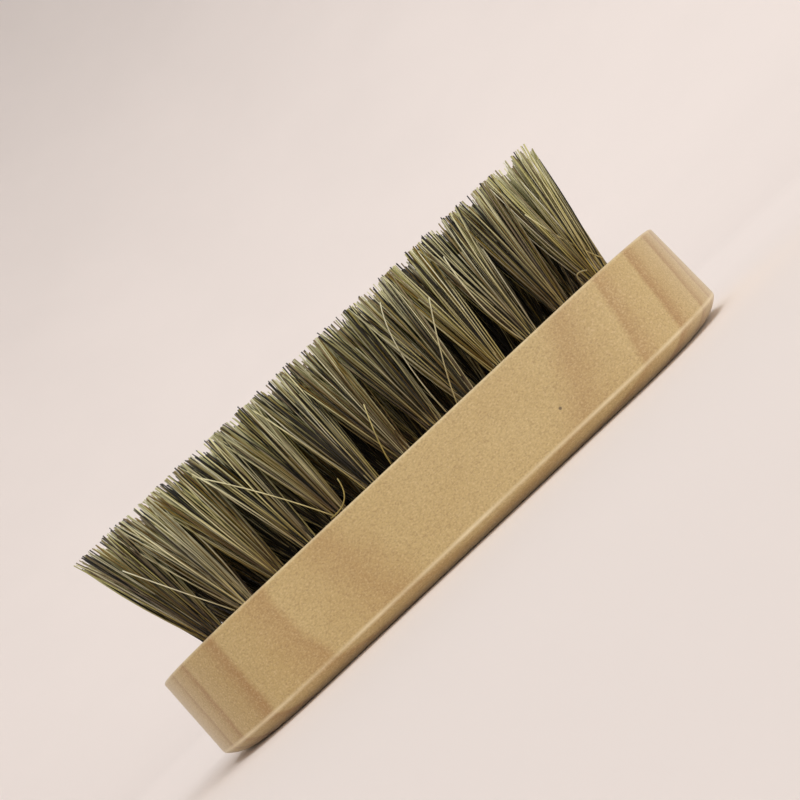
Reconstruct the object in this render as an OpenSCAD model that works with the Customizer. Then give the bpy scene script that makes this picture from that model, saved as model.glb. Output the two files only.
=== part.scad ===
// Oval beard brush: a one-piece wooden handle block drilled with blind holes.
// Each hole holds one tuft of boar bristle, folded in half over a flat wire
// staple that bites into the wood on both sides of the hole.
// Frame: +Z is the way the bristles point, X runs along the handle, Y across
// it, and the origin is the centre of the flat back, which rests on a table.

/* [Handle block] */
// Length of the block over its round ends
block_l = 100; // [86:1:130]
// Width of the block, which is also the diameter of its round ends
block_w = 45; // [38:1:60]
// Thickness of the block, from its flat back to the bristle face
block_t = 15.5; // [12:0.1:22]
// Height of the rounded edge at the back
back_round_h = 2.2; // [1.5:0.1:3.5]
// How far the rounded edge reaches in from the side wall
back_round_w = 5; // [3:0.1:7]
// Width of the eased edge around the bristle face
face_ease = 0.4; // [0.2:0.1:1]

/* [Tuft holes] */
// Number of tufts in every second row; the rows between have one fewer
tufts_per_row = 14; // [10:1:14]
// Wood left between the end holes and the ends of the block
end_margin = 8.5; // [6:0.1:12]
// Wood left between the outer rows of holes and the long sides
side_margin = 9.8; // [6:0.1:12]
// Diameter of the drilled hole
hole_d = 3; // [2.2:0.1:3.4]
// Depth of the drilled hole to the start of its drill point
hole_depth = 8; // [6:0.5:9.5]
// Height of the conical drill point at the bottom of the hole
drill_point_h = 0.7; // [0.4:0.1:1]

/* [Bristle tufts] */
// Free length of the bristles above the bristle face
bristle_h = 20.3; // [14:0.1:28]
// How much further apart the tips stand than the roots
fan_out = 1.06; // [1.00:0.01:1.14]
// Gap between neighbouring tufts at their tips
tip_gap = 0.9; // [0.6:0.1:2]
// Gap around the tuft in its hole
tuft_fit_gap = 0.02; // [0.01:0.01:0.1]
// Gap between the fold of the tuft and the bottom of the hole
fold_gap = 0.15; // [0.05:0.05:0.4]
// Height of the bristle fold below the staple
fold_h = 1.1; // [0.8:0.1:1.6]

/* [Anchor staples] */
// Thickness of the flat staple wire
staple_t = 0.35; // [0.25:0.05:0.5]
// Height of the staple along the hole
staple_h = 1.8; // [1.2:0.1:2.4]
// How far each end of the staple bites into the wall of the hole
staple_bite = 0.35; // [0.2:0.05:0.6]

/* [Hidden] */
$fn = 48;
overlap = 0.01;
drill_tip_r = 0.05;
round_steps = 10;
end_r = block_w / 2;
end_x = block_l / 2 - end_r;
hole_r = hole_d / 2;
tuft_pitch = (block_l - 2 * (end_margin + hole_r)) / (tufts_per_row - 1);
row_pitch = (block_w - 2 * (side_margin + hole_r)) / 3;
tuft_root_r = hole_r - tuft_fit_gap;
tuft_tip_r = (min(tuft_pitch, row_pitch) * fan_out - tip_gap) / 2;
hole_floor_z = block_t - hole_depth;
tuft_bottom_z = hole_floor_z + fold_gap;
staple_z = tuft_bottom_z + fold_h;
neck_r = 0.9 * tuft_root_r;
neck_depth = 0.4;
tip_trim = 2;
staple_w = hole_d + 2 * staple_bite;

// The rounded back edge is an arc that is level where it meets the flat back
// and leaves a soft crease where it meets the side wall.
back_arc_r = (pow(back_round_w, 2) + pow(back_round_h, 2)) / (2 * back_round_h);
back_arc_angle = asin(back_round_w / back_arc_r);

// The four rows from the front of the brush to its back, as [count, y]. One
// tuft more in every second row sets the rows half a step apart.
rows = [
    [tufts_per_row - 1, -1.5 * row_pitch],
    [tufts_per_row, -0.5 * row_pitch],
    [tufts_per_row - 1, 0.5 * row_pitch],
    [tufts_per_row, 1.5 * row_pitch],
];

// Place of tuft number i of a row, where its hole meets the bristle face.
function tuft_x(row, i) = (i - (rows[row][0] - 1) / 2) * tuft_pitch;
function tuft_at(row, i) = [tuft_x(row, i), rows[row][1]];

// A node's name says the row and the tuft's number in it, both from 1.
function two_digits(n) = n < 10 ? str("0", n) : str(n);
function tuft_name(row, i) =
    str("tuft_row", row + 1, "_", two_digits(i + 1));
tuft_names = [
    for (row = [0 : len(rows) - 1])
        for (i = [0 : rows[row][0] - 1])
            tuft_name(row, i)
];

// Half section of the block, from its middle out to the side wall.
function back_edge(half) = [
    for (k = [0 : round_steps])
        let (a = back_arc_angle * k / round_steps)
            [
                half - back_round_w + back_arc_r * sin(a),
                back_arc_r * (1 - cos(a)),
            ]
];
function half_section(half) = concat(
    [[0, 0]],
    back_edge(half),
    [
        [half, block_t - face_ease],
        [half - face_ease, block_t],
        [0, block_t],
    ]
);

module straight_half() {
    rotate([90, 0, 90])
        linear_extrude(height = 2 * end_x, center = true)
            polygon(half_section(end_r));
}

module round_end() {
    translate([end_x, 0, 0])
        rotate([0, 0, -90])
            rotate_extrude(angle = 180)
                polygon(half_section(end_r));
}

module block_body() {
    straight_half();
    mirror([0, 1, 0]) straight_half();
    round_end();
    mirror([1, 0, 0]) round_end();
}

// A blind hole with its drill point, and the two thin slits that the staple
// cut into the wall on its way down.
module tuft_hole(row, i) {
    translate(concat(tuft_at(row, i), [0])) {
        translate([0, 0, hole_floor_z])
            cylinder(h = hole_depth + 1, r = hole_r);
        translate([0, 0, hole_floor_z - drill_point_h])
            cylinder(h = drill_point_h + overlap, r1 = drill_tip_r, r2 = hole_r);
        translate([-staple_t / 2, -staple_w / 2, staple_z])
            cube([staple_t, staple_w, block_t]);
    }
}

module handle_block() {
    color("#bc9f70")
        difference() {
            block_body();
            for (row = [0 : len(rows) - 1])
                for (i = [0 : rows[row][0] - 1])
                    tuft_hole(row, i);
        }
}

// The outer shape of one staple, seen from its hole.
module staple_blank() {
    translate([-staple_t / 2, -staple_w / 2, staple_z])
        cube([staple_t, staple_w, staple_h]);
}

module anchor_staples() {
    color("#c9b37a")
        for (row = [0 : len(rows) - 1])
            for (i = [0 : rows[row][0] - 1])
                translate(concat(tuft_at(row, i), [0]))
                    staple_blank();
}

// The free part of a tuft: a slender cone that leans away from the middle of
// the brush and is trimmed level with all the others. It starts a little below
// the bristle face, inside the part of the tuft that fills the hole.
module tuft_fan(row, i) {
    lean_x = tuft_at(row, i)[0] * (fan_out - 1);
    lean_y = tuft_at(row, i)[1] * (fan_out - 1);
    tilt = atan2(norm([lean_x, lean_y]), bristle_h);
    turn = atan2(lean_y, lean_x);
    intersection() {
        translate([0, 0, block_t])
            rotate([0, 0, turn])
                rotate([0, tilt, 0])
                    translate([0, 0, -neck_depth])
                        cylinder(
                            h = neck_depth + bristle_h + tip_trim,
                            r1 = neck_r,
                            r2 = tuft_tip_r
                        );
        translate([-bristle_h, -bristle_h, block_t - 2 * neck_depth])
            cube([2 * bristle_h, 2 * bristle_h, bristle_h + 2 * neck_depth]);
    }
}

module tuft(row, i) {
    color((row + i) % 3 == 0 ? "#7b735a" : "#8b8468")
        translate(concat(tuft_at(row, i), [0]))
            difference() {
                union() {
                    translate([0, 0, tuft_bottom_z])
                        cylinder(h = block_t - tuft_bottom_z, r = tuft_root_r);
                    tuft_fan(row, i);
                }
                staple_blank();
            }
}

handle_block();
anchor_staples();
for (row = [0 : len(rows) - 1])
    for (i = [0 : rows[row][0] - 1])
        tuft(row, i);
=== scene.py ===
"""Oval beard brush: a beech handle block with tufts of natural bristle.

The handle block is replaced by a finer mesh of the same sizes. Each tuft is
replaced by its real bristles: every bristle is folded in half under the staple,
rises out of its hole and spreads to the trimmed tips. The anchor staples keep
their CAD shape and get a better material. Lengths are in metres.
"""

import math
from collections import namedtuple

import bmesh
import bpy
import numpy as np
from mathutils import Matrix, Vector
from mathutils.geometry import delaunay_2d_cdt


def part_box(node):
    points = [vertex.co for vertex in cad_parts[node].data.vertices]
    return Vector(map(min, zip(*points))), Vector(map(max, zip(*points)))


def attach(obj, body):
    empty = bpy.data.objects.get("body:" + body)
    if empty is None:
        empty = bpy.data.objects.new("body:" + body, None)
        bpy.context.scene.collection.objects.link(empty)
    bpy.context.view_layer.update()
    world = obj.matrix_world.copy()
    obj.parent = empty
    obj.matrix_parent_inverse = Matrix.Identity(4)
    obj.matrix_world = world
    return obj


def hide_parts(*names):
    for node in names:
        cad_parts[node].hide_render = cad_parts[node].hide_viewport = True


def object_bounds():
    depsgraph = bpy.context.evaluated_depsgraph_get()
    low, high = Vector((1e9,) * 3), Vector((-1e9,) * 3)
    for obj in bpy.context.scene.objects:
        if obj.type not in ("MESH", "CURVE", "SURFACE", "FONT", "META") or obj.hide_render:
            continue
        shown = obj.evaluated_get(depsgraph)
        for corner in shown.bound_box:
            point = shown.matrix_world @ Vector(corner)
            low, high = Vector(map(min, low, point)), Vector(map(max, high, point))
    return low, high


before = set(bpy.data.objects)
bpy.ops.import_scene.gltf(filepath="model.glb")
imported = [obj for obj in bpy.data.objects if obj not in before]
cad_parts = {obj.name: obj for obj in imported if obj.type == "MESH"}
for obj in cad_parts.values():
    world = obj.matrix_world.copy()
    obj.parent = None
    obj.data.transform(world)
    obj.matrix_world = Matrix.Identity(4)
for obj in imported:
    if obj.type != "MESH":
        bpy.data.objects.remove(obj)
cad_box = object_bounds()

MM = 0.001
SEED = 20

# ------------------------------------------------------------ block and holes
block_lo, block_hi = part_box("handle_block")
BLOCK_RADIUS = (block_hi[1] - block_lo[1]) / 2
FACE_Z = block_hi[2]
# The CAD mesh ends a hair short of this, because its round ends are facets.
BLOCK_END_X = 50.0 * MM
BACK_ROUND_H = 2.2 * MM
BACK_ROUND_W = 5.0 * MM
CREASE_SOFTENED = 0.35 * MM
FACE_EASE = 0.4 * MM
# A narrow band beside each rounding keeps the flat faces shaded flat.
HOLD = 0.25 * MM

HOLE_R = 1.5 * MM
HOLE_DEPTH = 8.0 * MM
HOLE_BOTTOM_Z = FACE_Z - HOLE_DEPTH
DRILL_POINT = 0.7 * MM
STAPLE_BOTTOM_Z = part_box("anchor_staples")[0][2]
STAPLE_T = 0.35 * MM
STAPLE_BITE = 0.35 * MM
SLIT_REACH = HOLE_R + STAPLE_BITE

# -------------------------------------------------------------------- tufts
TIP_Z = cad_box[1][2]
TUFT_NODES = sorted(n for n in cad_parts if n.startswith("tuft_"))
BRISTLES_PER_TUFT = 76
# Bristles of one lock lean alike and are of similar tone.
BRISTLES_PER_LOCK = 5
BRISTLE_R = 0.098 * MM
BRISTLE_R_RANGE = (0.75, 1.2)
ROOT_R = HOLE_R - 0.11 * MM
# Half of the room that the staple takes in a hole, as a share of its radius.
STAPLE_ROOM = 0.24
# Roots are drawn as a random number to this power, which crowds them outwards.
ROOT_CROWDING = 0.38
FOLD_DEPTH = 0.9 * MM
FOLD_JITTER = 0.1

# The tips stand this much further apart than the holes, and the whole field of
# bristles has been combed a little towards one end.
FAN_OUT = 1.06
COMBED = np.array((-1.0, 0.0)) * MM
# Half size of the patch that one tuft covers where it is trimmed.
TIP_HALF_X = 3.8 * MM
TIP_HALF_Y = 4.0 * MM
TIP_REACH_X = TIP_HALF_X + 0.2 * MM
# Neighbouring tufts press against each other, so many tips end up at the edges
# of the patch.
PRESSED = (1.0, 1.6)
TIP_JITTER = (0.30 * MM, 0.10 * MM)
LOCK_JITTER = (0.55 * MM, 0.10 * MM)
# Where the trimmed field of bristles ends along X, strays apart.
FIELD_ENDS = (-46.4 * MM, 44.4 * MM)
STRAY_SHARE = 0.08
STRAY_LEAN = 2.4 * MM
# Lengths are shares of the trimmed length above the face.
TRIM_ERROR = 0.0025
BLACK_LONGER = 0.008
SHORT_SHARE = 0.05
SHORTER_BY = (0.02, 0.30)
# A bend below zero spreads a bristle early, one above zero late.
BEND_INNER = (-0.75, 0.0)
BEND_OUTER = (-0.15, 0.35)
BOW = 0.28 * MM
# Tufts nearer to the middle than this have others all round them, or nearly so.
INNER_X = 34.0 * MM
INNER_Y = 6.0 * MM

# A bristle's tone runs from 0, black, through brown and olive to 1, straw.
BLACK_TONE = 0.10
BROWN_TONES = (0.16, 0.36)
BROWN_SHARE = 0.13
# The inner tufts' larger share of black bristles stands in for the shade in the gaps
# between tufts: painted shade.
BLACK_SHARE_INNER = 0.48
BLACK_SHARE_OUTER = 0.28
# The bristles at the +X end are nearly all pale.
BLACK_SHARE_AT_END = 0.06
BROWN_LOCK_SHARE = 0.14
BROWN_LOCK_TONE = 0.26
LOCK_TONES = (0.40, 0.97)
TONE_JITTER = 0.13
# A brown lock may hold bristles down to the first tone, others to the second.
BROWN_LOCK_BELOW = 0.3
LOWEST_TONES = (0.18, 0.32)


def hole_centre(node):
    """A tuft's solid is a plain cylinder down in its hole, so the middle of
    its lowest vertices is the middle of the hole."""
    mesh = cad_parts[node].data
    bottom = [v.co for v in mesh.vertices if v.co.z < STAPLE_BOTTOM_Z]
    sides = [[c[k] for c in bottom] for k in (0, 1)]
    return np.array([(min(side) + max(side)) / 2 for side in sides])


HOLES = {node: hole_centre(node) for node in TUFT_NODES}


# ------------------------------------------------------------------- camera
# The photograph was taken from almost level with the bristle face, close in
# front of the long side, with the brush running from lower left to upper right.
CAM_PLACE = Vector((4.9, -151.4, 10.1)) * MM
CAM_PITCH = math.radians(4.80)
CAM_ROLL = math.radians(43.15)
CAM_LENS_MM = 44.25
CAM_SENSOR_MM = 36.0
CAM_CLIP = (0.005, 20.0)


def make_camera():
    data = bpy.data.cameras.new("camera")
    data.lens = CAM_LENS_MM
    data.sensor_width = CAM_SENSOR_MM
    data.clip_start, data.clip_end = CAM_CLIP
    cam = bpy.data.objects.new("camera", data)
    bpy.context.scene.collection.objects.link(cam)
    ahead = Vector((0, math.cos(CAM_PITCH), math.sin(CAM_PITCH)))
    level_right = Vector((1, 0, 0))
    level_up = level_right.cross(ahead)
    right = math.cos(CAM_ROLL) * level_right - math.sin(CAM_ROLL) * level_up
    up = math.sin(CAM_ROLL) * level_right + math.cos(CAM_ROLL) * level_up
    turn = Matrix((right, up, -ahead)).transposed().to_4x4()
    cam.matrix_world = Matrix.Translation(CAM_PLACE) @ turn
    bpy.context.scene.camera = cam


# ------------------------------------------------------------ node materials
# A noise: how its place is stretched and moved, its scale per metre, its detail.
Noise = namedtuple("Noise", "stretch offset scale detail")
ORIGIN = (0.0, 0.0, 0.0)
EVEN = (1.0, 1.0, 1.0)
# Most values of a noise lie in this range.
USUAL_NOISE = (0.3, 0.7)


class Nodes:
    """Short names for building a material's node tree."""

    def __init__(self, name):
        self.material = bpy.data.materials.new(name)
        self.material.use_nodes = True
        self.tree = self.material.node_tree
        self.shader = self.tree.nodes["Principled BSDF"]

    def add(self, kind, **settings):
        node = self.tree.nodes.new(kind)
        for key, value in settings.items():
            setattr(node, key, value)
        return node

    def link(self, source, target):
        self.tree.links.new(source, target)

    def put(self, value, socket):
        """Sets a socket to a number, or links it to another socket."""
        if isinstance(value, bpy.types.NodeSocket):
            self.link(value, socket)
        else:
            socket.default_value = value

    def surface(self, **sockets):
        """Sets the shader's sockets, named with underscores for spaces."""
        for key, value in sockets.items():
            self.put(value, self.shader.inputs[key.replace("_", " ")])

    def place(self):
        return self.add("ShaderNodeTexCoord").outputs["Object"]

    def attribute(self, name):
        return self.add("ShaderNodeAttribute", attribute_name=name).outputs["Fac"]

    def math(self, operation, a, b=0.0, c=0.0):
        node = self.add("ShaderNodeMath", operation=operation)
        for value, socket in zip((a, b, c), node.inputs):
            self.put(value, socket)
        return node.outputs[0]

    def ramp(self, value, stops):
        node = self.add("ShaderNodeValToRGB")
        elements = node.color_ramp.elements
        while len(elements) < len(stops):
            elements.new(0.5)
        for element, (place, colour) in zip(elements, stops):
            element.position = place
            element.color = (*colour, 1.0)
        self.link(value, node.inputs[0])
        return node.outputs[0]

    def spread(self, value, low, high, new_low=0.0, new_high=1.0):
        """Maps low..high to new_low..new_high, and holds values outside."""
        node = self.add("ShaderNodeMapRange")
        self.link(value, node.inputs["Value"])
        for key, number in zip(
            ("From Min", "From Max", "To Min", "To Max"),
            (low, high, new_low, new_high),
        ):
            node.inputs[key].default_value = number
        return node.outputs[0]

    def mix(self, factor, a, b):
        """Mixes two colours, each a socket or a linear (red, green, blue)."""
        node = self.add("ShaderNodeMix", data_type="RGBA")
        self.put(factor, node.inputs[0])
        for value, socket in ((a, node.inputs[6]), (b, node.inputs[7])):
            if isinstance(value, tuple):
                value = (*value, 1.0)
            self.put(value, socket)
        return node.outputs[2]

    def noise(self, place, look):
        mapping = self.add("ShaderNodeMapping")
        self.link(place, mapping.inputs["Vector"])
        mapping.inputs["Location"].default_value = look.offset
        mapping.inputs["Scale"].default_value = look.stretch
        node = self.add("ShaderNodeTexNoise")
        self.link(mapping.outputs[0], node.inputs["Vector"])
        node.inputs["Scale"].default_value = look.scale
        node.inputs["Detail"].default_value = look.detail
        return node.outputs["Fac"]


def srgb(red, green, blue):
    """Linear colour from an 8-bit sRGB one."""

    def channel(c):
        c /= 255.0
        return c / 12.92 if c <= 0.04045 else ((c + 0.055) / 1.055) ** 2.4

    return tuple(channel(c) for c in (red, green, blue))


# --------------------------------------------------------------------- wood
# Growth rings are upright layers across Y, bowed about a middle that moves along
# X a little with height. A place's depth is its distance from the plane y = 0,
# less the bow. Each ring starts pale and darkens to the next.
RING_BOW_PER_M = 5.0
RING_MIDDLE = 3.3 * MM
RING_MIDDLE_PER_Z = 0.22
RING_TILT = 0.072
# Depths in mm at which a ring starts, how dark each one ends, and the depth at
# which the last one would end.
RING_STARTS = (0.0, 2.6, 6.8, 12.97, 17.75, 20.66)
RING_DARKNESS = (1.0, 1.1, 1.1, 0.8, 0.6, 0.5)
LAST_RING_END = 28.0
# The ramp covers depths from 0 to this many mm.
RING_REACH = 26.0
# Colours at three places in a ring, from its pale start to its dark end.
RING_COLOURS = (
    (0.07, srgb(204, 179, 120)),
    (0.6, srgb(194, 165, 106)),
    (0.94, srgb(170, 128, 70)),
)
SWAY = Noise((1.0, 1.0, 0.8), ORIGIN, 150.0, 3.0)
SWAY_RANGE = (0.25, 0.75)
RING_SWAY = (-1.15 * MM, -0.55 * MM)

CLOUD = Noise((0.7, 1.0, 1.2), ORIGIN, 90.0, 3.0)
CLOUD_COLOURS = ((0.3, srgb(182, 155, 103)), (0.7, srgb(204, 183, 135)))
CLOUD_STRENGTH = 0.28
# Specks show where a noise rises through its range.
FIBRE = Noise((0.7, 1.0, 1.0), ORIGIN, 4300.0, 2.0)
FIBRE_RANGE = (0.36, 0.70)
FIBRE_COLOUR = srgb(150, 120, 72)
FLECK = Noise((0.7, 1.0, 0.9), (3.0, 1.0, 2.0), 4600.0, 1.0)
FLECK_RANGE = (0.50, 0.72)
FLECK_COLOUR = srgb(144, 110, 62)
GLINT = Noise((0.75, 1.0, 0.95), (7.0, 4.0, 9.0), 4400.0, 1.0)
GLINT_RANGE = (0.50, 0.74)
GLINT_COLOUR = srgb(230, 208, 164)
SPECK_STRENGTH = 0.34
# Painted highlights along the back crease and along the eased face edge: height, how far
# each reaches up and down, and strength.
PAINTED_EDGE_HIGHLIGHTS = (
    (BACK_ROUND_H + 0.12 * MM, 0.42 * MM, 0.75),
    (FACE_Z - 0.10 * MM, 0.40 * MM, 0.30),
)
# Colour of the painted edge highlights.
EDGE_HIGHLIGHT_COLOUR = srgb(240, 224, 184)
# Makes up for the noise that thins the painted highlights, which is about a half on
# average.
EDGE_HIGHLIGHT_GAIN = 1.8
KNOT_MARK = (19.4 * MM, -22.5 * MM, 5.8 * MM)
KNOT_INNER_R = 0.14 * MM
KNOT_OUTER_R = 0.30 * MM
KNOT_COLOUR = srgb(74, 50, 30)
KNOT_STRENGTH = 0.8
WOOD_ROUGHNESS = (0.44, 0.56)
FIBRE_BUMP = 0.12
FIBRE_BUMP_H = 0.05 * MM


def ring_depth(m, axes, sway):
    """Depth through the growth rings, swayed by noise."""
    x, y, z = axes
    middle = m.math("MULTIPLY_ADD", z, RING_MIDDLE_PER_Z, RING_MIDDLE)
    aside = m.math("SUBTRACT", x, middle)
    bow = m.math("MULTIPLY", m.math("MULTIPLY", aside, aside), RING_BOW_PER_M)
    depth = m.math("MULTIPLY_ADD", z, RING_TILT, m.math("ABSOLUTE", y))
    depth = m.math("SUBTRACT", depth, bow)
    return m.math("ADD", depth, m.spread(sway, *SWAY_RANGE, *RING_SWAY))


def ring_stops():
    """Ramp stops for all rings, as shares of the ramp's reach."""
    light = RING_COLOURS[0][1]
    ends = (*RING_STARTS[1:], LAST_RING_END)
    stops = []
    for start, end, darkness in zip(RING_STARTS, ends, RING_DARKNESS):
        for part, shade in RING_COLOURS:
            colour = [a + darkness * (b - a) for a, b in zip(light, shade)]
            stops.append(((start + part * (end - start)) / RING_REACH, colour))
    return [stop for stop in stops if stop[0] <= 1.0]


def speckled(m, colour, noise, limits, paint):
    """A colour with another one painted where the noise is high."""
    return m.mix(m.spread(noise, *limits, 0.0, SPECK_STRENGTH), colour, paint)


def with_edge_highlights(m, colour, z, sway):
    """A colour with painted highlights along the back crease and the face edge."""
    for height, reach, strength in PAINTED_EDGE_HIGHLIGHTS:
        off = m.math("ABSOLUTE", m.math("SUBTRACT", z, height))
        highlight = m.math("MULTIPLY", m.spread(off, 0.0, reach, strength, 0.0), sway)
        colour = m.mix(m.math("MULTIPLY", highlight, EDGE_HIGHLIGHT_GAIN), colour, EDGE_HIGHLIGHT_COLOUR)
    return colour


def with_knot(m, colour, place):
    """A colour with one small dark knot mark on the front side."""
    away = m.add("ShaderNodeVectorMath", operation="DISTANCE")
    m.link(place, away.inputs[0])
    away.inputs[1].default_value = KNOT_MARK
    distance = away.outputs["Value"]
    mark = m.spread(distance, KNOT_INNER_R, KNOT_OUTER_R, KNOT_STRENGTH, 0.0)
    return m.mix(mark, colour, KNOT_COLOUR)


def beech():
    m = Nodes("beech_wood")
    place = m.place()
    split = m.add("ShaderNodeSeparateXYZ")
    m.link(place, split.inputs[0])
    axes = split.outputs
    sway = m.noise(place, SWAY)
    depth = ring_depth(m, axes, sway)
    rings = m.ramp(m.math("DIVIDE", depth, RING_REACH * MM), ring_stops())

    # Cloudy variation, then fine fibres, darker flecks and pale glints.
    cloud = m.noise(place, CLOUD)
    colour = m.mix(CLOUD_STRENGTH, rings, m.ramp(cloud, CLOUD_COLOURS))
    fibre = m.noise(place, FIBRE)
    colour = speckled(m, colour, fibre, FIBRE_RANGE, FIBRE_COLOUR)
    fleck = m.noise(place, FLECK)
    colour = speckled(m, colour, fleck, FLECK_RANGE, FLECK_COLOUR)
    glint = m.noise(place, GLINT)
    colour = speckled(m, colour, glint, GLINT_RANGE, GLINT_COLOUR)
    # Painted highlights along the back crease and the face edge.
    colour = with_edge_highlights(m, colour, axes[2], sway)
    colour = with_knot(m, colour, place)

    bump = m.add("ShaderNodeBump")
    bump.inputs["Strength"].default_value = FIBRE_BUMP
    bump.inputs["Distance"].default_value = FIBRE_BUMP_H
    m.link(fibre, bump.inputs["Height"])
    m.surface(
        Base_Color=colour,
        Roughness=m.spread(fibre, *USUAL_NOISE, *WOOD_ROUGHNESS),
        Normal=bump.outputs[0],
        Sheen_Weight=0.15,
        Coat_Weight=0.35,
        Coat_Roughness=0.28,
    )
    return m.material


# ------------------------------------------------------- wire, bristle, paper
DRAWN_LINES = Noise((1.0, 0.15, 1.0), ORIGIN, 9000.0, 2.0)
WIRE_STAIN = Noise(EVEN, ORIGIN, 900.0, 3.0)
WIRE_ROUGHNESS = (0.28, 0.48)
WIRE_COLOURS = ((0.35, srgb(150, 122, 66)), (0.65, srgb(206, 178, 106)))

# Colours by tone, at a bristle's tip and at its root. The darker roots are partly the
# bristles' own colour and partly painted shade down among the tufts.
TIP_COLOURS = (
    (0.0, srgb(9, 9, 8)),
    (0.10, srgb(20, 18, 15)),
    (0.16, srgb(100, 78, 44)),
    (0.32, srgb(150, 130, 76)),
    (0.45, srgb(156, 152, 104)),
    (0.70, srgb(206, 202, 152)),
    (1.0, srgb(246, 242, 202)),
)
ROOT_COLOURS_WITH_SHADE = (
    (0.0, srgb(12, 10, 9)),
    (0.12, srgb(20, 16, 13)),
    (0.32, srgb(92, 70, 40)),
    (0.60, srgb(150, 132, 84)),
    (1.0, srgb(204, 190, 138)),
)
# Heights between which a bristle fades from its root colour to its tip colour.
FADE = (0.15, 0.75)
MOTTLE = Noise((1.0, 1.0, 0.25), ORIGIN, 700.0, 2.0)
MOTTLE_RANGE = (0.35, 0.75)
MOTTLE_COLOUR = srgb(96, 88, 60)
MOTTLE_STRENGTH = 0.35
BRISTLE_ROUGHNESS = (0.38, 0.55)
# Any large number that isn't whole, so that close tones get unlike greyness.
SHUFFLE = 37.7
SATURATION = (0.72, 1.25)

PAPER_CLOUD = Noise(EVEN, ORIGIN, 6.0, 3.0)
PAPER_SHADE = 0.97


def staple_wire():
    """Brass wire with fine lines from drawing, and stained in places."""
    m = Nodes("staple_wire")
    place = m.place()
    drawn = m.noise(place, DRAWN_LINES)
    stain = m.noise(place, WIRE_STAIN)
    m.surface(
        Base_Color=m.ramp(stain, WIRE_COLOURS),
        Roughness=m.spread(drawn, *USUAL_NOISE, *WIRE_ROUGHNESS),
        Metallic=1.0,
    )
    return m.material


def bristle():
    """Each bristle has its own tone, and fades from a darker root, partly painted shade,
    to a paler tip.
    """
    m = Nodes("boar_bristle")
    tone = m.attribute("tone")
    tips = m.ramp(tone, TIP_COLOURS)
    roots = m.ramp(tone, ROOT_COLOURS_WITH_SHADE)
    # Darker low down: partly the bristles' own colour, partly painted shade among the
    # tufts.
    colour = m.mix(m.spread(m.attribute("along"), *FADE), roots, tips)
    mottle = m.noise(m.place(), MOTTLE)
    stain = m.spread(mottle, *MOTTLE_RANGE, 0.0, MOTTLE_STRENGTH)
    colour = m.mix(stain, colour, MOTTLE_COLOUR)
    # Some bristles are greyer than others of the same tone.
    shuffled = m.math("FRACT", m.math("MULTIPLY", tone, SHUFFLE))
    tint = m.add("ShaderNodeHueSaturation")
    m.link(m.spread(shuffled, 0.0, 1.0, *SATURATION), tint.inputs["Saturation"])
    m.link(colour, tint.inputs["Color"])
    m.surface(
        Base_Color=tint.outputs[0],
        Roughness=m.spread(mottle, *USUAL_NOISE, *BRISTLE_ROUGHNESS),
        Specular_IOR_Level=0.32,
        Coat_Weight=0.05,
        Coat_Roughness=0.35,
    )
    return m.material


def paper(name, colour):
    """Plain paper with faint cloudy patches."""
    m = Nodes(name)
    cloud = m.noise(m.place(), PAPER_CLOUD)
    darker = tuple(PAPER_SHADE * c for c in colour)
    m.surface(
        Base_Color=m.ramp(cloud, tuple(zip(USUAL_NOISE, (darker, colour)))),
        Roughness=0.85,
    )
    return m.material


# -------------------------------------------------------------- handle block
END_STEPS = 72
BACK_STEPS = 16
EASE_STEPS = 5
CREASE_STEPS = 5
HOLE_STEPS = 14
# Corners of half a hole's edge: the arc's, and the slit's two outer ones.
HALF_ARC = HOLE_STEPS + 1
HALF_EDGE = HALF_ARC + 2
# The circle has one point across each slit in place of two.
HALF_CIRCLE = HALF_ARC + 1
# The sides of a many-sided hole lie a little inside its circle.
CLEAR_OF_SIDES = 0.97
# Points this close, in metres, count as one when the face is cut up.
FACE_EPSILON = 1e-9
SHARP_ANGLE = math.radians(30.0)


def add_piece(name, mesh, material):
    mesh.materials.append(material)
    mesh.update()
    piece = bpy.data.objects.new(name, mesh)
    bpy.context.scene.collection.objects.link(piece)
    return piece


def oval(inset):
    """The block's outline as points, counter-clockwise, moved in by inset."""
    reach = BLOCK_END_X - BLOCK_RADIUS
    radius = BLOCK_RADIUS - inset
    points = []
    for middle, start in ((reach, -90.0), (-reach, 90.0)):
        for k in range(END_STEPS + 1):
            angle = math.radians(start + 180.0 * k / END_STEPS)
            x = middle + radius * math.cos(angle)
            y = radius * math.sin(angle)
            points.append((x, y))
    return points


def softened(before, corner, after, steps):
    """A soft bend from one point to another, pulled towards a corner."""
    points = []
    for k in range(steps):
        t = k / (steps - 1)
        a, b, c = (1 - t) ** 2, 2 * t * (1 - t), t * t
        points.append(
            tuple(a * p + b * q + c * r for p, q, r in zip(before, corner, after))
        )
    return points


def back_arc():
    """The rounded back edge, up to but not including the crease."""
    radius = (BACK_ROUND_W**2 + BACK_ROUND_H**2) / (2 * BACK_ROUND_H)
    whole = math.asin(BACK_ROUND_W / radius)
    points = []
    for k in range(BACK_STEPS):
        angle = whole * k / BACK_STEPS
        inset = BACK_ROUND_W - radius * math.sin(angle)
        points.append((inset, radius * (1 - math.cos(angle))))
    return points


def face_edge():
    """The eased edge between the side wall and the bristle face."""
    points = []
    for k in range(EASE_STEPS + 1):
        angle = math.pi / 2 * k / EASE_STEPS
        inset = FACE_EASE * (1 - math.cos(angle))
        points.append((inset, FACE_Z - FACE_EASE * (1 - math.sin(angle))))
    return points


def block_profile():
    """(inset, height) from the flat back, round the side, to the bristle face."""
    arc = back_arc()
    corner = (0.0, BACK_ROUND_H)
    above = (0.0, BACK_ROUND_H + CREASE_SOFTENED)
    crease = softened(arc[-1], corner, above, CREASE_STEPS)
    top = face_edge()
    wall = [(0.0, crease[-1][1] + HOLD), (0.0, top[0][1] - HOLD)]
    return arc[:-1] + crease + wall + top + [(FACE_EASE + HOLD, FACE_Z)]


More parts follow.
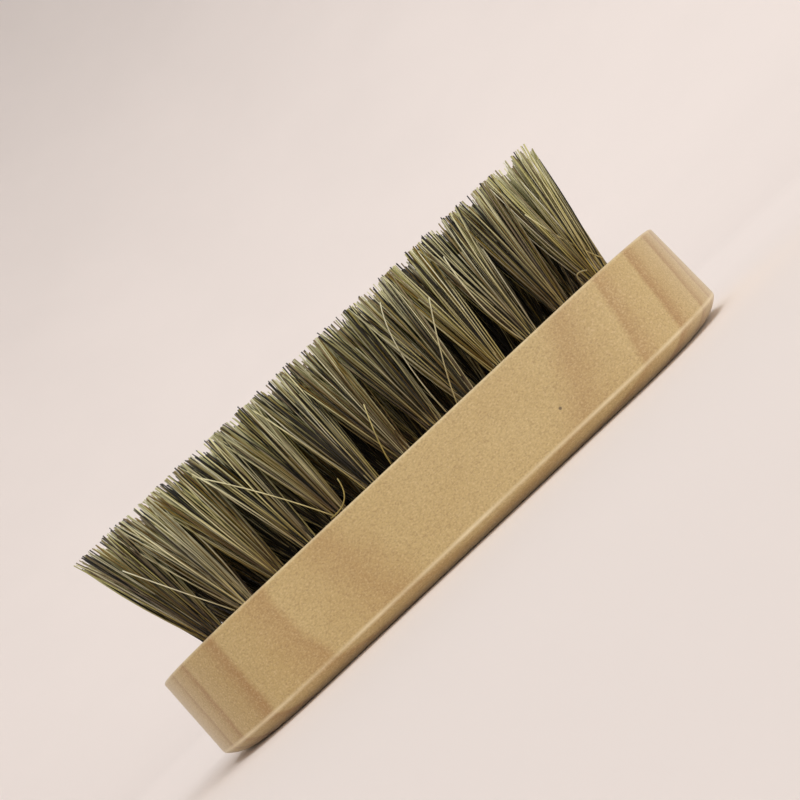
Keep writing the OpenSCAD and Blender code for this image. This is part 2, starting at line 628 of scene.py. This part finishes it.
def hole_outlines(centre):
    """The hole's edge with the staple's two slits, and its plain circle. They
    have the same arc points, but where the circle has one point across each
    slit, the edge has the slit's two outer corners."""
    half = STAPLE_T / 2
    gap = math.asin(half / HOLE_R)
    edge, circle = [], []
    for start in (-math.pi / 2, math.pi / 2):
        for k in range(HOLE_STEPS + 1):
            angle = start + gap + (math.pi - 2 * gap) * k / HOLE_STEPS
            at = (HOLE_R * math.cos(angle), HOLE_R * math.sin(angle))
            edge.append(at)
            circle.append(at)
        side = -math.copysign(1.0, start)
        edge += [(side * half, side * SLIT_REACH), (-side * half, side * SLIT_REACH)]
        circle.append((0.0, side * HOLE_R))
    return (
        [(centre[0] + x, centre[1] + y) for x, y in edge],
        [(centre[0] + x, centre[1] + y) for x, y in circle],
    )


def add_ring(verts, points, height):
    """Adds a ring of vertices at one height and gives their numbers."""
    first = len(verts)
    verts.extend((x, y, height) for x, y in points)
    return list(range(first, len(verts)))


def join_rings(faces, lower, upper):
    """Quads between two rings of vertex numbers."""
    count = len(lower)
    for k in range(count):
        n = (k + 1) % count
        faces.append((lower[k], lower[n], upper[n], upper[k]))


def add_side(verts, faces):
    """The flat back and the side. Gives the ring where the face begins."""
    previous = None
    for inset, height in block_profile():
        current = add_ring(verts, oval(inset), height)
        if previous:
            join_rings(faces, previous, current)
        else:
            faces.append(tuple(reversed(current)))
        previous = current
    return previous


def slit_floors(ledge, neck):
    """The floor of both slits, from the slit's corners in to the circle."""
    floors = []
    for side in (0, 1):
        last = side * HALF_EDGE + HALF_ARC - 1
        after = (last + 3) % len(ledge)
        top = neck[side * HALF_CIRCLE + HALF_ARC]
        corners = (ledge[last + 1], ledge[last + 2])
        floors.append((ledge[last], *corners, ledge[after], top))
    return floors


def add_hole(verts, faces, centre):
    """A blind hole with two slits and a drill point. Gives its mouth's ring."""
    edge, circle = hole_outlines(centre)
    mouth = add_ring(verts, edge, FACE_Z)
    ledge = add_ring(verts, edge, STAPLE_BOTTOM_Z)
    neck = add_ring(verts, circle, STAPLE_BOTTOM_Z)
    bottom = add_ring(verts, circle, HOLE_BOTTOM_Z)
    point = add_ring(verts, [tuple(centre)], HOLE_BOTTOM_Z - DRILL_POINT)[0]
    walls = []
    join_rings(walls, mouth, ledge)
    join_rings(walls, neck, bottom)
    for k, corner in enumerate(bottom):
        walls.append((corner, bottom[(k + 1) % len(bottom)], point))
    walls += slit_floors(ledge, neck)
    # The neck's arcs are the ledge's arcs, so they share the ledge's vertices.
    weld = {}
    for side in (0, 1):
        for k in range(HALF_ARC):
            weld[neck[side * HALF_CIRCLE + k]] = ledge[side * HALF_EDGE + k]
    faces.extend(tuple(weld.get(v, v) for v in wall) for wall in walls)
    return mouth


def in_a_hole(point):
    """Whether a point of the face lies in a hole or in one of its slits."""
    for centre in HOLES.values():
        aside, along = np.abs(point - centre)
        if np.linalg.norm(point - centre) < HOLE_R * CLEAR_OF_SIDES:
            return True
        if aside < STAPLE_T / 2 and along < SLIT_REACH:
            return True
    return False


def add_face_sheet(verts, faces, loops):
    """The flat bristle face, between the outer edge and the holes."""
    numbers = [v for loop in loops for v in loop]
    place = {v: k for k, v in enumerate(numbers)}
    edges = [
        (place[a], place[b])
        for loop in loops
        for a, b in zip(loop, loop[1:] + loop[:1])
    ]
    flat = [Vector(verts[v][:2]) for v in numbers]
    # Output type 1 is the triangles inside the outline. Item 2 holds them, and
    # item 3 the input points behind each output point.
    out = delaunay_2d_cdt(flat, edges, [], 1, FACE_EPSILON)
    for triangle in out[2]:
        corners = [numbers[out[3][v][0]] for v in triangle]
        middle = np.mean([verts[v][:2] for v in corners], axis=0)
        if not in_a_hole(middle):
            faces.append(tuple(corners))


def clean_mesh(name, verts, faces):
    """A mesh without its welded-away vertices, shaded smooth but for edges."""
    mesh = bpy.data.meshes.new(name)
    mesh.from_pydata(verts, [], faces)
    work = bmesh.new()
    work.from_mesh(mesh)
    unused = [v for v in work.verts if not v.link_faces]
    bmesh.ops.delete(work, geom=unused, context="VERTS")
    bmesh.ops.recalc_face_normals(work, faces=work.faces)
    work.to_mesh(mesh)
    work.free()
    mesh.shade_smooth()
    mesh.set_sharp_from_angle(angle=SHARP_ANGLE)
    return mesh


def make_handle(material):
    verts, faces = [], []
    loops = [add_side(verts, faces)]
    for centre in HOLES.values():
        loops.append(add_hole(verts, faces, centre))
    add_face_sheet(verts, faces, loops)
    mesh = clean_mesh("handle_wood", verts, faces)
    piece = add_piece("handle_wood", mesh, material)
    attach(piece, "root")
    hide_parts("handle_block")


# ------------------------------------------------------------------ bristles
SIDES = 4
LEG_STEPS = 6
FOLD_STEPS = 4
# Any direction that no bristle runs along, to turn the tubes' rings from.
ACROSS = (0.3, 0.9, 0.1)
# A bristle's strip of the UV map: its start and width, as shares of its column.
STRIP_START = 0.1
STRIP_WIDTH = 0.8
LOOSE_STEPS = 12


def square_from_disc(x, y):
    """Moves a point of the unit disc to the unit square, keeping its side."""
    reach = math.hypot(x, y)
    widest = max(abs(x), abs(y), 1e-6)
    return np.array((x, y)) * reach / widest


def is_inner(centre):
    """Whether a tuft has other tufts all round it, or nearly so."""
    return abs(centre[1]) < INNER_Y and abs(centre[0]) < INNER_X


def held_between(value, low, high):
    return min(max(value, low), high)


def tip_place(rng, centre, lean, root, lock):
    """Where a bristle is trimmed, from the middle of its hole."""
    patch = np.clip(square_from_disc(*root) * PRESSED, -1.0, 1.0)
    tip = lean + patch * (TIP_HALF_X, TIP_HALF_Y)
    tip = tip + lock + rng.normal(0.0, 1.0, 2) * TIP_JITTER
    tip[0] = held_between(tip[0], lean[0] - TIP_REACH_X, lean[0] + TIP_REACH_X)
    tip[0] = held_between(centre[0] + tip[0], *FIELD_ENDS) - centre[0]
    if rng.random() < STRAY_SHARE:
        # A stray leans across the others of its tuft.
        tip[0] -= math.copysign(abs(rng.normal(0.0, STRAY_LEAN)), root[0])
    return tip


def leg_length(rng, black):
    """Length above the face, as a share of the trimmed length."""
    length = 1.0 + rng.normal(0.0, TRIM_ERROR)
    if black:
        length += abs(rng.normal(0.0, BLACK_LONGER))
    if rng.random() < SHORT_SHARE:
        length -= rng.uniform(*SHORTER_BY)
    return length


def leg_points(rng, centre, lean, root, black, lock):
    """Points from under the face to the tip for one half of a bristle.

    root is its place in the hole, as a share of ROOT_R. Bristles of one lock
    share part of the way that they lean.
    """
    under = np.array(root) * ROOT_R
    # Above the staple the bristles close up again over the whole hole.
    closed = (abs(root[0]) - STAPLE_ROOM) / (1.0 - STAPLE_ROOM)
    start = np.array((math.copysign(closed, root[0]), root[1])) * ROOT_R
    tip = tip_place(rng, centre, lean, root, lock)
    length = leg_length(rng, black)
    # Inner bristles spread early and close the gaps between the front tufts.
    bend = rng.uniform(*(BEND_INNER if is_inner(centre) else BEND_OUTER))
    bow = rng.normal(0.0, BOW, 2)
    points = [(*(centre + under), STAPLE_BOTTOM_Z)]
    for k in range(LEG_STEPS + 1):
        t = k / LEG_STEPS * length
        s = (1.0 - bend) * t + bend * t * t
        at = centre + start + (tip - start) * s + bow * math.sin(math.pi * t)
        points.append((*at, FACE_Z + (TIP_Z - FACE_Z) * t))
    return points


def pick_roots(rng):
    """Both places of a folded bristle in its hole, one each side of the staple."""
    while True:
        angle, reach = rng.uniform(0.0, 2 * math.pi), rng.random() ** ROOT_CROWDING
        root = reach * np.array((math.cos(angle), math.sin(angle)))
        if abs(root[0]) > STAPLE_ROOM:
            break
    other = (-root[0], root[1] + rng.normal(0.0, FOLD_JITTER))
    size = np.hypot(*other)
    if size > 1.0:
        other = (other[0] / size, other[1] / size)
    return tuple(root), other


def fold_points(a, b):
    """The half turn under the staple, between the lower ends of two legs."""
    a, b = np.array(a), np.array(b)
    drop = min(FOLD_DEPTH, np.linalg.norm(a - b) / 2)
    points = []
    for k in range(1, FOLD_STEPS):
        angle = math.pi * k / FOLD_STEPS
        at = (a + b) / 2 + (a - b) / 2 * math.cos(angle)
        at[2] = STAPLE_BOTTOM_Z - drop * math.sin(angle)
        points.append(tuple(at))
    return points


def folded_bristle(rng, centre, lean, black, lock):
    """One bristle: down one side of the staple, under it and up the other."""
    root, other = pick_roots(rng)
    first = leg_points(rng, centre, lean, root, black, lock)
    second = leg_points(rng, centre, lean, other, black, lock)
    return [*reversed(first), *fold_points(first[0], second[0]), *second]


def tube(points, radius):
    """Rings of vertices around a polyline."""
    points = np.array(points)
    along = np.gradient(points, axis=0)
    along /= np.linalg.norm(along, axis=1)[:, None]
    side = np.cross(along, ACROSS)
    side /= np.linalg.norm(side, axis=1)[:, None]
    other = np.cross(along, side)
    angles = np.arange(SIDES) * 2 * math.pi / SIDES
    return points[:, None] + radius * (
        np.cos(angles)[None, :, None] * side[:, None]
        + np.sin(angles)[None, :, None] * other[:, None]
    )


def tube_faces(first, count):
    """Quads round a tube of count rings, then its two ends."""
    faces = []
    for r in range(count - 1):
        low = first + r * SIDES
        for s in range(SIDES):
            n = (s + 1) % SIDES
            faces.append((low + s, low + n, low + SIDES + n, low + SIDES + s))
    last = first + (count - 1) * SIDES
    faces.append(tuple(first + s for s in reversed(range(SIDES))))
    faces.append(tuple(last + s for s in range(SIDES)))
    return faces


def tube_uvs(index, count, column):
    """UV corners for tube_faces: each bristle has its own upright strip."""
    uvs = []
    for r in range(count - 1):
        low, high = r / (count - 1), (r + 1) / (count - 1)
        for s in range(SIDES):
            left = column * (index + STRIP_START + STRIP_WIDTH * s / SIDES)
            right = column * (index + STRIP_START + STRIP_WIDTH * (s + 1) / SIDES)
            uvs += [(left, low), (right, low), (right, high), (left, high)]
    for end in (0.0, 1.0):
        uvs += [(column * (index + 0.5), end)] * SIDES
    return uvs


def bristle_mesh(name, strands, material):
    """A piece made of tubes. strands is a list of (points, radius, tone)."""
    verts, faces, uvs, tones, alongs = [], [], [], [], []
    column = 1.0 / len(strands)
    for index, (points, radius, tone) in enumerate(strands):
        rings = tube(points, radius)
        heights = (rings[:, :, 2] - FACE_Z) / (TIP_Z - FACE_Z)
        faces += tube_faces(len(verts), len(rings))
        uvs += tube_uvs(index, len(rings), column)
        verts += [tuple(corner) for ring in rings for corner in ring]
        tones += [tone] * heights.size
        alongs += list(np.clip(heights, 0.0, 1.0).ravel())
    mesh = bpy.data.meshes.new(name)
    mesh.from_pydata(verts, [], faces)
    layer = mesh.uv_layers.new(name="OFBake")
    layer.data.foreach_set("uv", np.array(uvs, dtype=np.float32).ravel())
    for key, values in (("tone", tones), ("along", alongs)):
        attribute = mesh.attributes.new(key, "FLOAT", "POINT")
        attribute.data.foreach_set("value", np.array(values, dtype=np.float32))
    mesh.shade_smooth()
    return add_piece(name, mesh, material)


def pick_tone(rng, base, black_share):
    """A bristle's tone: black, brown, or near its lock's own mean."""
    kind = rng.random()
    if kind < black_share:
        return rng.uniform(0.0, BLACK_TONE)
    if kind < black_share + BROWN_SHARE:
        return rng.uniform(*BROWN_TONES)
    lowest = LOWEST_TONES[0] if base < BROWN_LOCK_BELOW else LOWEST_TONES[1]
    return float(np.clip(base + rng.normal(0.0, TONE_JITTER), lowest, 1.0))


def pick_lock(rng):
    """The way that a lock leans, and its mean tone."""
    lock = rng.normal(0.0, 1.0, 2) * LOCK_JITTER
    if rng.random() < BROWN_LOCK_SHARE:
        return lock, BROWN_LOCK_TONE
    return lock, rng.uniform(*LOCK_TONES)


def black_share_of(centre):
    if centre[0] > INNER_X:
        return BLACK_SHARE_AT_END
    return BLACK_SHARE_INNER if is_inner(centre) else BLACK_SHARE_OUTER


def nearest_tuft(point):
    return min(HOLES, key=lambda node: np.hypot(*(HOLES[node] - point[:2])))


def make_tuft(node, material, number):
    rng = np.random.default_rng(SEED + number)
    centre = HOLES[node]
    lean = centre * (FAN_OUT - 1.0) + COMBED
    black_share = black_share_of(centre)
    strands = []
    for index in range(BRISTLES_PER_TUFT):
        if index % BRISTLES_PER_LOCK == 0:
            lock, base = pick_lock(rng)
        tone = pick_tone(rng, base, black_share)
        points = folded_bristle(rng, centre, lean, tone < BLACK_TONE, lock)
        strands.append((points, BRISTLE_R * rng.uniform(*BRISTLE_R_RANGE), tone))
    for tone, points in LOOSE:
        if nearest_tuft(points[0]) == node:
            strands.append((points, BRISTLE_R, tone))
    piece = bristle_mesh(node.replace("tuft_", "bristles_"), strands, material)
    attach(piece, "root")
    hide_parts(node)


def curve(*corners):
    """A loose bristle's points, from three corners of a soft bend, in mm."""
    scaled = [tuple(MM * c for c in corner) for corner in corners]
    return softened(*scaled, LOOSE_STEPS)


# A few loose bristles lie across the front of the brush, as (tone, points).
LOOSE = [
    (1.0, curve((-12.9, -12.6, 15.8), (-17.4, -14.6, 25.0), (-23.6, -15.6, 33.6))),
    (0.90, curve((-13.6, -12.9, 16.2), (-9.4, -14.6, 15.6), (-9.0, -14.4, 19.6))),
    (0.94, curve((10.4, -12.6, 15.8), (12.4, -14.8, 21.0), (17.6, -15.6, 29.2))),
    (0.86, curve((35.2, -11.8, 15.8), (34.4, -13.4, 18.6), (36.6, -13.2, 17.0))),
    (0.90, curve((-2.2, -12.6, 16.0), (-1.6, -14.8, 19.0), (0.8, -15.0, 24.6))),
    (0.88, curve((8.5, -12.6, 16.0), (8.6, -15.4, 28.0), (12.2, -15.6, 33.4))),
    (0.94, curve((23.4, -12.6, 16.0), (21.2, -15.0, 23.0), (23.0, -15.6, 32.0))),
    (0.96, curve((-32.4, -12.6, 16.0), (-35.2, -15.0, 22.0), (-39.6, -15.6, 30.6))),
    (0.92, curve((40.0, -10.6, 16.8), (37.0, -13.6, 21.6), (35.4, -14.8, 28.6))),
]


# --------------------------------------------------------------------- stage
FLOOR_COLOUR = srgb(245, 236, 231)
FLOOR_FLAT_R = 0.30
FLOOR_EDGE_R = 1.5
# Height of the floor's rise, per squared metre beyond its flat middle.
FLOOR_RISE = 0.95
FLOOR_RINGS = 30
FLOOR_STEPS = 96
# Rings lie closer together near the middle than at the edge.
FLOOR_SPACING = 1.5
WORLD_COLOUR = (1.0, 0.97, 0.95, 1.0)
WORLD_STRENGTH = 0.35


def make_floor(material):
    """A round sheet of paper, flat under the brush and rising gently all round,
    so no horizon line shows."""
    angles = [2 * math.pi * s / FLOOR_STEPS for s in range(FLOOR_STEPS)]
    verts, faces, rings = [], [tuple(range(FLOOR_STEPS))], []
    for k in range(FLOOR_RINGS + 1):
        share = (k / FLOOR_RINGS) ** FLOOR_SPACING
        radius = FLOOR_FLAT_R + (FLOOR_EDGE_R - FLOOR_FLAT_R) * share
        circle = [(radius * math.cos(a), radius * math.sin(a)) for a in angles]
        rise = FLOOR_RISE * (radius - FLOOR_FLAT_R) ** 2
        rings.append(add_ring(verts, circle, rise))
    for inner, outer in zip(rings, rings[1:]):
        for s in range(FLOOR_STEPS):
            n = (s + 1) % FLOOR_STEPS
            faces.append((inner[s], outer[s], outer[n], inner[n]))
    mesh = bpy.data.meshes.new("floor")
    mesh.from_pydata(verts, [], faces)
    mesh.shade_smooth()
    add_piece("floor", mesh, material)


def make_light(name, place, target, size, watts):
    """A soft rectangular light that the camera doesn't see."""
    data = bpy.data.lights.new(name, "AREA")
    data.shape = "RECTANGLE"
    data.size, data.size_y = size
    data.energy = watts
    light = bpy.data.objects.new(name, data)
    light.location = place
    aim = Vector(target) - Vector(place)
    light.rotation_mode = "QUATERNION"
    light.rotation_quaternion = aim.to_track_quat("-Z", "Y")
    light.visible_camera = False
    bpy.context.scene.collection.objects.link(light)


def make_lights():
    """A low key in front, a broad top light, and a wash on the far floor."""
    make_light(
        "key_softbox",
        place=(0.22, -0.36, 0.12),
        target=(0.0, 0.0, 0.01),
        size=(0.50, 0.12),
        watts=0.51,
    )
    make_light(
        "top_softbox",
        place=(0.12, -0.05, 0.75),
        target=(0.0, 0.0, 0.0),
        size=(0.6, 0.5),
        watts=1.3,
    )
    make_light(
        "back_wash",
        place=(0.25, -0.30, 0.90),
        target=(-0.1, 1.2, 1.0),
        size=(0.9, 0.5),
        watts=8.6,
    )


def make_world():
    world = bpy.data.worlds.new("studio")
    bpy.context.scene.world = world
    world.use_nodes = True
    back = world.node_tree.nodes["Background"]
    back.inputs["Color"].default_value = WORLD_COLOUR
    back.inputs["Strength"].default_value = WORLD_STRENGTH


# ---------------------------------------------------------------------- main
bpy.context.scene.view_settings.view_transform = "Standard"
make_camera()
make_world()
make_floor(paper("floor_paper", FLOOR_COLOUR))
make_lights()

make_handle(beech())

wire_material = staple_wire()
for material_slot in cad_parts["anchor_staples"].material_slots:
    material_slot.material = wire_material

bristle_material = bristle()
for number, tuft_node in enumerate(TUFT_NODES):
    make_tuft(tuft_node, bristle_material, number)
